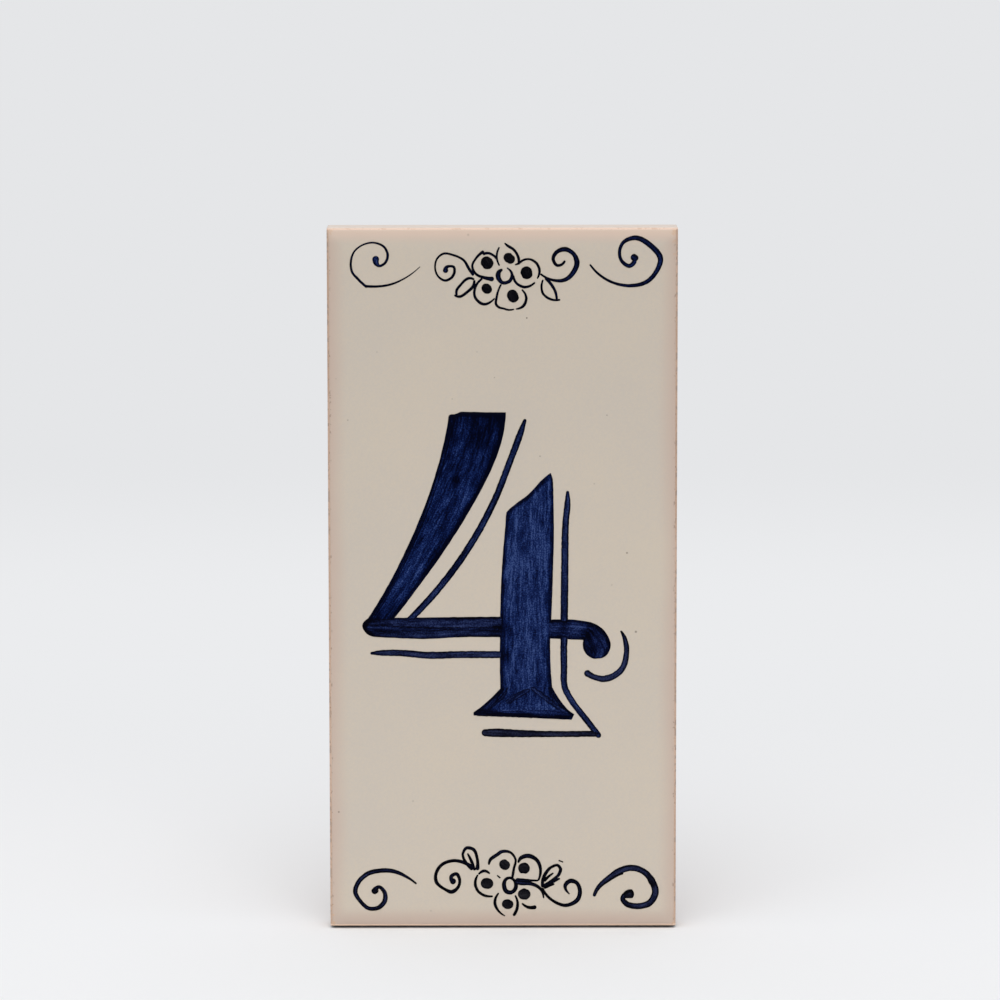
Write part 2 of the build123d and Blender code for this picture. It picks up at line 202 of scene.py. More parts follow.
clayLook = {
    "pale": (226, 193, 170),
    "deep": (205, 168, 142),
    "pore": (150, 112, 88),
    "dustAndSheen": (214, 203, 194),   # glaze dust along the upper edge, with painted sheen from above
    "grimeAndShade": (150, 134, 122),  # handling grime and painted shade along the two sides
    "lowHighlight": (246, 216, 192),  # painted highlight along the lower edge, just above the painted contact shade
    "glint": (233, 204, 185),  # painted highlight where the glaze ends along the upper edge
    "broken": 0.7,             # how far flecks break that line
    "contactShade": (14, 10, 8),       # painted contact shade along the edge it stands on
    # bands: from and to in mm, and the share at each
    "frontBand": (0.4, 1.8, 1.0, 0.1),
    "sideBand": (0.1, 0.6, 1.0, 0.0),
    "glintBand": (-0.5, -0.36, 0.0, 1.0),
    "dustAndSheenBand": (-0.3, 0.0, 0.0, 0.85),
    "lowHighlightBand": (0.45, 0.6, 0.9, 0.0),
    "contactShadeBand": (0.03, 0.24, 0.98, 0.0),
    "cloudScale": 90.0,
    "grainScale": 2600.0,
    "poreScale": 700.0,
    "poreSize": 0.13,
    "poreShare": 0.6,
    "cloudPart": 0.6,          # parts of the tone
    "grainPart": 0.4,
    "toneBand": (0.35, 0.65),
    "fleckScale": 1100.0,
    "fleckShare": 0.46,
    "grimeAndShadeShare": 0.3,         # even grime and painted shade, and what flecks add to it
    "grimeFlecks": 0.45,
    "roughness": (0.49, 0.63),
    "specular": 0.5,
    "bump": 0.25,
    "bumpDepth": 0.0001,       # m
}


def buildClay(look):
    material, tree, shader = newMaterial("firedClay")
    place = objectPlace(tree)
    axes = axesOf(tree, place)
    height = axes["Z"]
    grain = placeGrain(tree, place, look)
    worn = placeWear(tree, place, look)
    share = maths(tree, "ADD", times(tree, grain["Cloud"], look["cloudPart"]),
                  times(tree, grain["Grain"], look["grainPart"]))
    colour = mixTint(tree, ramp(tree, share, *look["toneBand"]), tint(*look["deep"]), tint(*look["pale"]))
    pores = times(tree, grain["Pores"], look["poreShare"])
    colour = mixTint(tree, pores, colour, tint(*look["pore"]))
    # handling grime and painted shade along the two sides, near the front
    atSide = times(tree, band(tree, worn["Side"], 0.0, look["sideBand"]),
                   band(tree, axes["Y"], clayLow.y, look["frontBand"]))
    grimeAndShade = maths(tree, "ADD", look["grimeAndShadeShare"], times(tree, worn["Flecks"], look["grimeFlecks"]))
    colour = mixTint(tree, times(tree, atSide, grimeAndShade), colour, tint(*look["grimeAndShade"]))
    # painted highlight where the glaze ends along the upper edge
    colour = mixGlint(tree, colour, height, worn["Flecks"], look)
    # glaze dust with painted sheen on the upper edge, then a painted highlight and painted contact shade
    # along the lower edge
    for name, start in (("dustAndSheen", clayHigh.z), ("lowHighlight", clayLow.z), ("contactShade", clayLow.z)):
        colour = mixTint(tree, band(tree, height, start, look[name + "Band"]), colour, tint(*look[name]))
    relief = maths(tree, "SUBTRACT", times(tree, grain["Grain"], 0.5), grain["Pores"])
    finishShader(tree, shader, colour, share, relief, look)
    return material


firedClay = buildClay(clayLook)
dress(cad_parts["biscuit_tile"], firedClay)
print("clay body dressed")


# glaze: a pillow edge that thins towards the bare rim

glazeLook = {
    "corner": 0.3,         # mm, radius seen from the front
    "cell": 2.0,           # mm between lines of the sheet
    # distances from the rim and how far the glaze has fallen there, mm: most where it hung in the kiln
    "inset": [0.0, 0.12, 0.3, 0.6, 1.0, 1.6, 2.4, 3.4],
    "sideRoll": [0.3, 0.23, 0.19, 0.145, 0.1, 0.052, 0.016, 0.0],
    "topRoll": [0.45, 0.4, 0.334, 0.268, 0.188, 0.098, 0.03, 0.0],
    "lowRoll": [0.3, 0.16, 0.09, 0.05, 0.027, 0.011, 0.003, 0.0],
    "ripple": 0.014,       # mm
    "rippleScale": 0.13,   # per mm
    "rippleReach": 3.0,    # mm from the rim to the full ripple
    "field": (201, 191, 179),
    "warm": (206, 194, 178),
    "rim": (199, 177, 163),    # where the clay shows through
    # lighter towards the upper rim: thin glaze, with painted light from above
    "topRimLit": (215, 192, 175),
    # darker towards the lower rim: thin glaze, with painted shade
    "lowRimShaded": (193, 174, 161),
    "bare": (206, 170, 138),
    "lowHighlight": (250, 221, 198),  # painted highlight along the lower rim
    "glint": (222, 199, 183),  # painted highlight along the upper rim
    "broken": 0.8,             # how far flecks break that line
    "chip": (132, 108, 90),
    "speck": (84, 70, 58),
    # bands: from and to in mm, and the share at each
    "rimBand": (0.0, 4.2, 0.85, 0.0),
    "topRimLitBand": (-3.4, -0.6, 0.0, 0.85),
    "lowRimShadedBand": (0.6, 4.5, 0.8, 0.0),
    "lowHighlightBand": (0.5, 0.68, 0.9, 0.0),
    "glintBand": (-0.62, -0.4, 0.0, 1.0),
    "chipBand": (0.4, 0.9, 0.6, 0.0),
    # iron specks: across, up and radius in mm, and how dark
    "specks": [(4.8, 52.2, 0.16, 0.9), (26.4, -10.3, 0.24, 0.62), (-32.7, -46.6, 0.2, 0.6),
               (24.6, 5.5, 0.2, 0.6), (7.4, 24.8, 0.17, 0.42), (-30.5, 32.0, 0.17, 0.36),
               (-6.7, 68.6, 0.3, 0.3), (-9.9, 36.2, 0.15, 0.28), (18.1, 19.3, 0.16, 0.26),
               (-17.9, -44.4, 0.22, 0.2), (-5.0, 45.5, 0.16, 0.2), (-24.7, 45.5, 0.16, 0.2),
               (-14.4, -66.7, 0.2, 0.2), (21.6, -0.9, 0.2, 0.18), (-32.8, 40.2, 0.16, 0.2)],
    # places at the rim where the glaze left the clay bare: across, up and reach in mm, and how bare
    "bareSpots": [(-33.9, 69.4, 0.7, 0.6), (33.8, 69.1, 0.75, 0.6), (33.9, 67.2, 0.45, 0.5),
                  (33.95, 64.6, 0.4, 0.35), (-34.0, -69.2, 0.55, 0.7), (-34.0, -67.6, 0.4, 0.6),
                  (-34.1, -65.6, 0.35, 0.45), (34.0, -69.3, 0.55, 0.65), (34.05, -67.9, 0.35, 0.4)],
    "cloudScale": 45.0,
    "grainScale": 2600.0,
    "poreScale": 90.0,
    "poreSize": 0.018,
    "poreShare": 0.3,
    "fleckScale": 1000.0,
    "fleckShare": 0.4,
    "rimStray": 0.002,     # m that the blush at the rim strays
    "bareStray": 0.0014,   # m that the edge of a bare spot strays
    "bareEdge": (0.5, 1.2),    # where a spot begins to fade and where it ends, in parts of its reach
    "speckEdge": (0.4, 1.4),
    "grainTone": 1.2,
    "toneBand": (0.1, 0.9),
    "roughness": (0.17, 0.24),
    "specular": 0.25,
    "bump": 0.05,
    "bumpDepth": 0.001,    # m
}


def glazeLines(half, look):
    rim = look["inset"]
    count = round(2 * (half - rim[-1]) / look["cell"])
    field = [-half + rim[-1] + 2 * (half - rim[-1]) * k / count for k in range(1, count)]
    return [-half + inset for inset in rim] + field + [half - inset for inset in reversed(rim)]


def glazeFall(distance, insets, roll):
    for near, far, high, low in zip(insets, insets[1:], roll, roll[1:]):
        if distance <= far:
            return high + (low - high) * max(0.0, distance - near) / (far - near)
    return 0.0


# how far the glaze lies behind its full height at a place, mm
def glazeDrop(x, z, look):
    fromSide, fromEnd = glazeHigh.x / mm - abs(x), glazeHigh.z / mm - abs(z)
    fall = max(glazeFall(fromSide, look["inset"], look["sideRoll"]),
               glazeFall(fromEnd, look["inset"], look["topRoll"] if z > 0 else look["lowRoll"]))
    scale = look["rippleScale"]
    ripple = (noise.noise(Vector((x * scale, 0.0, z * scale))) + 1) / 2
    inward = max(0.0, min(fromSide, fromEnd)) / look["rippleReach"]
    return fall + look["ripple"] * ripple * min(1.0, inward)


def buildGlazeSheet(look):
    columns, rows = glazeLines(glazeHigh.x / mm, look), glazeLines(glazeHigh.z / mm, look)
    bpy.ops.object.select_all(action="DESELECT")
    bpy.ops.mesh.primitive_grid_add(x_subdivisions=len(columns) - 1, y_subdivisions=len(rows) - 1, size=2)
    sheet = bpy.context.object
    sheet.name = "glazeSheet"
    corner = look["corner"]
    for vertex in sheet.data.vertices:
        x = columns[round((vertex.co.x + 1) / 2 * (len(columns) - 1))]
        z = rows[round((vertex.co.y + 1) / 2 * (len(rows) - 1))]
        fromSide, fromEnd = columns[-1] - abs(x), rows[-1] - abs(z)
        drop = glazeDrop(x, z, look)
        if max(fromSide, fromEnd) < corner:
            # draw the square corner in to a round one
            reach = Vector((corner - fromSide, corner - fromEnd))
            share = max(reach) / reach.length
            x = math.copysign(columns[-1] - corner + reach.x * share, x)
            z = math.copysign(rows[-1] - corner + reach.y * share, z)
        vertex.co = (x * mm, faceY + drop * mm, z * mm)
    bpy.ops.object.mode_set(mode="EDIT")
    bpy.ops.mesh.select_all(action="SELECT")
    bpy.ops.mesh.region_to_loop()
    bpy.ops.mesh.extrude_region_move(TRANSFORM_OT_translate={"value": (0, 0, 0)})
    bpy.ops.transform.resize(value=(1, 0, 1), center_override=(0, glazeHigh.y, 0))
    bpy.ops.mesh.edge_face_add()
    bpy.ops.object.mode_set(mode="OBJECT")
    bpy.ops.object.shade_smooth_by_angle(angle=smoothAngle)
    return sheet


def distanceTo(tree, place, x, z):
    spot = (x * mm, faceY, z * mm)
    return addNode(tree, "ShaderNodeVectorMath", {0: place, 1: spot}, operation="DISTANCE").outputs["Value"]


def fadeSpot(tree, away, reach, edge, share):
    return ramp(tree, away, edge[0] * reach * mm, edge[1] * reach * mm, share, 0.0)


def buildGlaze(look):
    material, tree, shader = newMaterial("creamGlaze")
    place = objectPlace(tree)
    height = axesOf(tree, place)["Z"]
    grain = placeGrain(tree, place, look)
    worn = placeWear(tree, place, look)
    cloudSwing = maths(tree, "SUBTRACT", grain["Cloud"], 0.5)
    grainSwing = maths(tree, "SUBTRACT", grain["Grain"], 0.5)
    cloudy = maths(tree, "ADD", grain["Cloud"], times(tree, grainSwing, look["grainTone"]))
    colour = mixTint(tree, ramp(tree, cloudy, *look["toneBand"]), tint(*look["field"]), tint(*look["warm"]))
    rim = maths(tree, "ADD", maths(tree, "MINIMUM", worn["Side"], worn["End"]),
                times(tree, cloudSwing, look["rimStray"]))
    colour = mixTint(tree, band(tree, rim, 0.0, look["rimBand"]), colour, tint(*look["rim"]))
    # thin glaze at the rims, with painted light at the upper rim, painted shade at the lower rim and a
    # painted highlight along the lower rim
    for name, start in (("topRimLit", clayHigh.z), ("lowRimShaded", clayLow.z), ("lowHighlight", clayLow.z)):
        colour = mixTint(tree, band(tree, height, start, look[name + "Band"]), colour, tint(*look[name]))
    # painted highlight along the upper rim
    colour = mixGlint(tree, colour, height, worn["Flecks"], look)
    ragged = times(tree, grainSwing, look["bareStray"])
    bare = 0.0
    for x, z, reach, share in look["bareSpots"]:
        away = maths(tree, "ADD", distanceTo(tree, place, x, z), ragged)
        bare = maths(tree, "MAXIMUM", bare, fadeSpot(tree, away, reach, look["bareEdge"], share))
    colour = mixTint(tree, bare, colour, tint(*look["bare"]))
    chips = times(tree, worn["Flecks"], band(tree, worn["Side"], 0.0, look["chipBand"]))
    colour = mixTint(tree, chips, colour, tint(*look["chip"]))
    specks = times(tree, grain["Pores"], look["poreShare"])
    for x, z, radius, dark in look["specks"]:
        away = distanceTo(tree, place, x, z)
        specks = maths(tree, "MAXIMUM", specks, fadeSpot(tree, away, radius, look["speckEdge"], dark))
    colour = mixTint(tree, specks, colour, tint(*look["speck"]))
    finishShader(tree, shader, colour, grain["Cloud"], grain["Cloud"], look)
    return material


creamGlaze = buildGlaze(glazeLook)
glazeSheet = buildGlazeSheet(glazeLook)
dress(glazeSheet, creamGlaze)
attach(glazeSheet, "root")
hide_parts("glaze_coat")
print("glaze laid,", len(glazeSheet.data.polygons), "faces")


# cobalt paint, read from how each mark was brushed

paintLook = {
    "thin": (56, 76, 128),
    "wash": (20, 38, 88),
    "full": (5, 16, 54),
    "pooled": (0, 2, 20),
    "lineThin": (44, 52, 86),
    "lineFull": (13, 18, 44),
    "linePooled": (1, 1, 5),
    "dabThin": (40, 40, 44),
    "dabFull": (22, 21, 26),
    "dabPooled": (4, 4, 9),
    "hairLong": 0.3,    # per mm along the brush
    "hairFine": 2.4,    # per mm across it
    "streak": 1.6,
    "band": 0.8,
    "grain": 1.5,
    "cloud": 0.5,
    "edgeDark": 0.55,
    "edgeBand": (0.3, 1.0),
    "cloudScale": 220.0,
    "grainScale": 4200.0,
    "markStep": 3.7,    # how far apart two marks lie in the streak pattern
    "roughness": (0.17, 0.24),
    "specular": 0.02,
    "bump": 0.08,
    "bumpDepth": 0.0002,  # m
}


def buildPaint(look):
    material, tree, shader = newMaterial("cobaltPaint")
    place = objectPlace(tree)
    brush = addNode(tree, "ShaderNodeAttribute", attribute_name="brush").outputs["Vector"]
    paint = addNode(tree, "ShaderNodeAttribute", attribute_name="paint").outputs["Vector"]
    # along and across the brush in mm, and how far from the rim
    run = axesOf(tree, brush)
    # load, colour and number of the mark
    kind = axesOf(tree, paint)
    grain = placeGrain(tree, place, look)
    hairs = addNode(tree, "ShaderNodeCombineXYZ", {
        "X": times(tree, run["X"], look["hairLong"]),
        "Y": times(tree, run["Y"], look["hairFine"]),
        "Z": times(tree, kind["Z"], look["markStep"]),
    })
    streaks = mottle(tree, hairs.outputs[0], 1.0, 4.0, 0.6)
    bands = mottle(tree, hairs.outputs[0], 0.3, 1.0)
    depth = maths(tree, "ADD", kind["X"], ramp(tree, run["Z"], *look["edgeBand"], look["edgeDark"], 0.0))
    swings = {"streak": streaks, "band": bands, "grain": grain["Grain"], "cloud": grain["Cloud"]}
    for name, value in swings.items():
        swing = times(tree, maths(tree, "SUBTRACT", 0.5, value), look[name])
        depth = maths(tree, "ADD", depth, swing, clamp=name == "cloud")
    colours = []
    for stops in (
        ((0.0, "thin"), (0.34, "wash"), (0.64, "full"), (1.0, "pooled")),
        ((0.0, "lineThin"), (0.55, "lineFull"), (1.0, "linePooled")),
        ((0.0, "dabThin"), (0.5, "dabFull"), (1.0, "dabPooled")),
    ):
        scale = addNode(tree, "ShaderNodeValToRGB", {0: depth})
        while len(scale.color_ramp.elements) < len(stops):
            scale.color_ramp.elements.new(0.5)
        for element, (position, name) in zip(scale.color_ramp.elements, stops):
            element.position = position
            element.color = tint(*look[name])
        colours.append(scale.outputs[0])
    # 0 is the blue of the numeral, 1 the ink of the lines and 2 the black of the dabs
    lines = mixTint(tree, kind["Y"], colours[0], colours[1])
    colour = mixTint(tree, maths(tree, "SUBTRACT", kind["Y"], 1.0, clamp=True), lines, colours[2])
    finishShader(tree, shader, colour, streaks, streaks, look)
    return material


cobaltPaint = buildPaint(paintLook)

brushLook = {
    "edgeLift": 0.025,   # mm of paint at the rim of a mark
    "fullLift": 0.075,   # mm of paint a little way in
    "liftReach": 0.3,    # mm from the rim to full thickness
    "skin": 0.03,        # mm, thickness of the solid film
    "spread": 0.03,      # mm that a line spreads to each side in the firing
    "hairs": 8,          # columns across a line
    "thinnest": 0.06,    # mm, width of the finest line
    "wobble": 0.07,      # share of its width that a line wavers
    "dabWobble": 0.16,
    "wobbleScale": 1.7,  # per mm
    "stray": 0.05,       # mm that the rim of a filled area strays
    "strayScale": 0.9,   # per mm
    "lineStep": 0.16,    # mm between stations along a line
    "edgeStep": 0.1,     # mm between points along the edge of an area
    "areaStep": 0.35,    # mm between the lines that fill an area
    "tipSteps": 6,       # stations round the tip of a line
    "darkRim": 0.45,     # mm over which the rim of a line is darker
    "overlap": 0.004,    # mm that every second line of a spray lies higher
    "weld": 0.002,       # mm, points closer than this are one
}
markCount = 0


# a smooth run through marks, with every value of a mark eased along
def smoothRun(marks, spacing):
    points = [Vector(mark) for mark in marks]
    steps = [max((b.xy - a.xy).length, 1e-6) for a, b in zip(points, points[1:])]
    slopes = [(b - a) / step for a, b, step in zip(points, points[1:], steps)]
    ways = []
    for before, after, stepBefore, stepAfter in zip(slopes, slopes[1:], steps, steps[1:]):
        ways.append((before * stepAfter + after * stepBefore) / (stepBefore + stepAfter))
    if ways:
        ways = [slopes[0] * 2 - ways[0]] + ways + [slopes[-1] * 2 - ways[-1]]
    else:
        ways = [slopes[0], slopes[0]]
    run = []
    for a, b, leaving, arriving, step in zip(points, points[1:], ways, ways[1:], steps):
        count = max(2, round(step / spacing))
        for i in range(count):
            t = i / count
            run.append(a * (2 * t**3 - 3 * t**2 + 1) + b * (3 * t**2 - 2 * t**3)
                       + leaving * step * (t**3 - 2 * t**2 + t) + arriving * step * (t**3 - t**2))
    run.append(points[-1])
    return run


# a grid laid on the glaze: rows of (across, up, along, over, rim, edge),
# all in mm but the edge, which goes from 0 at the rim to 1 and more inside
def layPaint(rows, load, line, layer, pools=()):
    global markCount
    markCount += 1
    long, wide = len(rows), len(rows[0])
    bpy.ops.object.select_all(action="DESELECT")
    bpy.ops.mesh.primitive_grid_add(x_subdivisions=long - 1, y_subdivisions=wide - 1, size=2)
    film = bpy.context.object
    film.data.attributes.new("brush", "FLOAT_VECTOR", "POINT")
    film.data.attributes.new("paint", "FLOAT_VECTOR", "POINT")
    brush = film.data.attributes["brush"].data
    paint = film.data.attributes["paint"].data
    for vertex in film.data.vertices:
        row = round((vertex.co.x + 1) / 2 * (long - 1))
        column = round((vertex.co.y + 1) / 2 * (wide - 1))
        x, z, along, over, rim, edge = rows[row][column]
        share = min(1.0, max(0.0, rim) / brushLook["liftReach"]) ** 0.5
        lift = brushLook["edgeLift"] + (brushLook["fullLift"] - brushLook["edgeLift"]) * share + layer
        vertex.co = (x * mm, faceY + (glazeDrop(x, z, glazeLook) - lift) * mm, z * mm)
        brush[vertex.index].vector = (along, over, edge)
        pooled = 0
        for poolX, poolZ, reach, amount in pools:
            pooled += amount * math.exp(-((x - poolX) ** 2 + (z - poolZ) ** 2) / reach**2)
        paint[vertex.index].vector = (load + pooled, line, markCount)
    return film


# one pull of the brush: marks are (across, up, width)
def brushLine(marks, load, line, layer=0.0, at=(0.0, 0.0), wobble=brushLook["wobble"]):
    scale = brushLook["wobbleScale"]
    run = smoothRun([(x + at[0], z + at[1], width) for x, z, width in marks], brushLook["lineStep"])
    first, last = run[0], run[-1]
    stations = []
    firstWay = (run[1].xy - run[0].xy).normalized()
    lastWay = (run[-1].xy - run[-2].xy).normalized()
    tips = [math.radians(90 * k / brushLook["tipSteps"]) for k in range(brushLook["tipSteps"])]
    firstTip, lastTip = first.z / 2 + brushLook["spread"], last.z / 2 + brushLook["spread"]
    for angle in tips:
        point = first.xy - firstWay * firstTip * math.cos(angle)
        stations.append((point, firstWay, firstTip * math.sin(angle)))
    for i, point in enumerate(run):
        way = (run[min(i + 1, len(run) - 1)].xy - run[max(i - 1, 0)].xy).normalized()
        stations.append((point.xy, way, max(point.z, brushLook["thinnest"]) / 2 + brushLook["spread"]))
    for angle in reversed(tips):
        point = last.xy + lastWay * lastTip * math.cos(angle)
        stations.append((point, lastWay, lastTip * math.sin(angle)))
    rows = []
    along = 0.0
    for i, (point, way, half) in enumerate(stations):
        along += (point - stations[max(i - 1, 0)][0]).length
        side = Vector((-way.y, way.x))
        row = []
        for k in range(brushLook["hairs"] + 1):
            share = 2 * k / brushLook["hairs"] - 1
            uneven = noise.noise(Vector((point.x * scale, point.y * scale, 5.0 if share > 0 else 9.0)))
            reach = half * (1 + wobble * uneven)
            place = point + side * share * reach
            rim = (1 - abs(share)) * reach
            row.append((place.x, place.y, along, share * reach, rim, rim / brushLook["darkRim"]))
        rows.append(row)
    return layPaint(rows, load, line, layer)


# one press of the brush: across, up, half its length, half its width and the way it lies, degrees
def brushDab(dab, load, line, layer, at):
    x, z, long, short, turn = dab
    lean = Vector((math.cos(math.radians(turn)), math.sin(math.radians(turn)))) * (long - short)
    width = 2 * (short - brushLook["spread"])
    press = [(x - lean.x, z - lean.y, width), (x + lean.x, z + lean.y, width)]
    return brushLine(press, load, line, layer, at, brushLook["dabWobble"])


# an edge of a filled area, with a corner wherever a point is given twice
def edgeRun(edge):
    parts = [[edge[0]]]
    for point in edge[1:]:
        if point == parts[-1][-1]:
            parts.append([point])
        else:
            parts[-1].append(point)
    run = []
    for part in parts:
        run += [point.xy for point in smoothRun([(x, z, 0.0) for x, z in part], brushLook["edgeStep"])]
    marks = [0.0]
    for a, b in zip(run, run[1:]):
        marks.append(marks[-1] + (b - a).length)
    return run, marks


def alongEdge(edge, share):
    run, marks = edge
    target = share * marks[-1]
    for i in range(1, len(marks)):
        if marks[i] >= target:
            part = (target - marks[i - 1]) / max(marks[i] - marks[i - 1], 1e-9)
            return run[i - 1].lerp(run[i], part)
    return run[-1]


# a filled area between four edges: start and end run from the left edge to the right one,
# straight where they aren't given
def brushArea(area, load, line, layer, at=(0.0, 0.0)):
    fine, scale = area.get("step", brushLook["areaStep"]), brushLook["strayScale"]
    straight = {"start": (area["left"][0], area["right"][0]), "end": (area["left"][-1], area["right"][-1])}
    edges = []
    for name in ("left", "right", "start", "end"):
        points = area[name] if name in area else straight[name]
        edges.append(edgeRun([(x + at[0], z + at[1]) for x, z in points]))
    left, right, start, end = edges
    tall, wide = max(left[1][-1], right[1][-1]), max(start[1][-1], end[1][-1])
    rowCount, columnCount = max(6, round(tall / fine)), max(6, round(wide / fine))
    startRun = [alongEdge(start, k / columnCount) for k in range(columnCount + 1)]
    endRun = [alongEdge(end, k / columnCount) for k in range(columnCount + 1)]
    # width of the dark outline at each edge, mm, 0 for none
    outline = area.get("outline", (0.9, 0.9, 0.9, 0.9))
    rows = []
    for i in range(rowCount + 1):
        t = i / rowCount
        leftPoint, rightPoint = alongEdge(left, t), alongEdge(right, t)
        span = (rightPoint - leftPoint).length
        row = []
        for k in range(columnCount + 1):
            s = k / columnCount
            place = startRun[k] * (1 - t) + endRun[k] * t + leftPoint * (1 - s) + rightPoint * s
            corners = (startRun[0] * (1 - s) + startRun[-1] * s) * (1 - t)
            corners += (endRun[0] * (1 - s) + endRun[-1] * s) * t
            place -= corners
            reaches = [s * span, (1 - s) * span, t * tall, (1 - t) * tall]
            rim = min([reach for reach, width in zip(reaches, outline) if width] + [1.0])
            edge = min([reach / width for reach, width in zip(reaches, outline) if width] + [2.0])
            stray = noise.noise_vector(Vector((place.x * scale, place.y * scale, 2.0))).xy
            stray *= brushLook["stray"]
            place += stray * (0.5 if min(reaches) > 0.2 else 1.0)
            row.append((place.x, place.y, t * tall, (s - 0.5) * span, rim, edge))
        rows.append(row)
    return layPaint(rows, load, line, layer, area.get("pools", ()))


def joinPaint(name, node, films):
    bpy.ops.object.select_all(action="DESELECT")
    for film in films:
        film.select_set(True)
    bpy.context.view_layer.objects.active = films[0]
    bpy.ops.object.join()
    piece = bpy.context.object
    piece.name = name
    bpy.ops.object.mode_set(mode="EDIT")
    bpy.ops.mesh.select_all(action="SELECT")
    bpy.ops.mesh.remove_doubles(threshold=brushLook["weld"] * mm)
    bpy.ops.object.mode_set(mode="OBJECT")
    skin = piece.modifiers.new("skin", "SOLIDIFY")
    skin.thickness = brushLook["skin"] * mm
    skin.offset = -1
    bpy.ops.object.modifier_apply(modifier=skin.name)
    bpy.ops.object.shade_smooth_by_angle(angle=smoothAngle)
    dress(piece, cobaltPaint)
    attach(piece, "root")
    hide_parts(node)
    print(name, "painted,", len(films), "marks,", len(piece.data.polygons), "faces")


# the figure 4, from the middle of the tile

